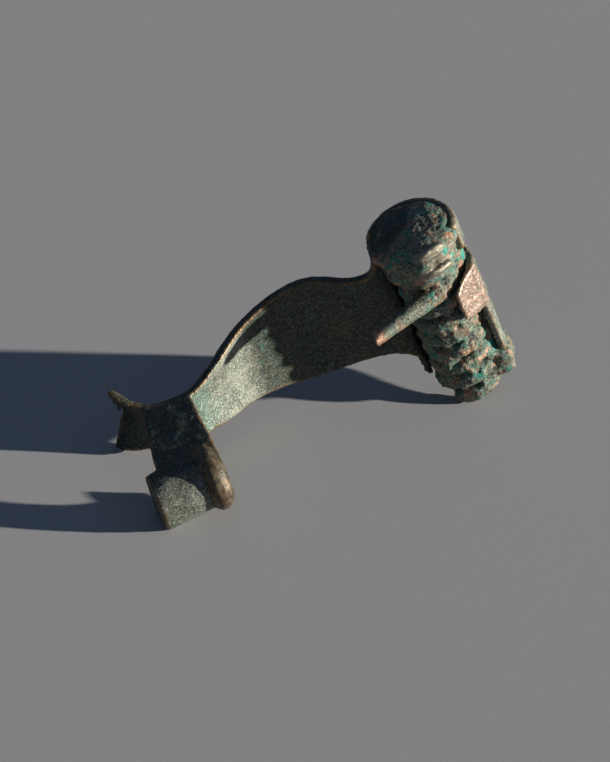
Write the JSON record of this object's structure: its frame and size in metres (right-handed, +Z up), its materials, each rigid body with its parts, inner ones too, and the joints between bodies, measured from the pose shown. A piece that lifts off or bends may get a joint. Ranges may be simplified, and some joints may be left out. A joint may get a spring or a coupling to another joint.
{
  "type": "bow brooch",
  "caption": "Small cast bronze bow brooch (fibula) with a hooded coil spring, a broken pin, a tall catchplate and a flared foot, patinated and worn, lying on its side.",
  "frame": {"origin": "middle of the footprint of the brooch as it lies on its side, on the surface it lies on", "axes": "+Z up from that surface; +X along the brooch, from the flared foot to the hooded head"},
  "size_m": [0.0422, 0.0204, 0.0232],
  "materials": {
    "patinated_bronze": "smooth dark green patina with worn ochre edges",
    "corroded_bronze": "rough green corrosion with bare coppery patches"
  },
  "bodies": {
    "root": {"brooch_body": "patinated_bronze", "spring_and_pin": "corroded_bronze"}
  },
  "joints": []
}
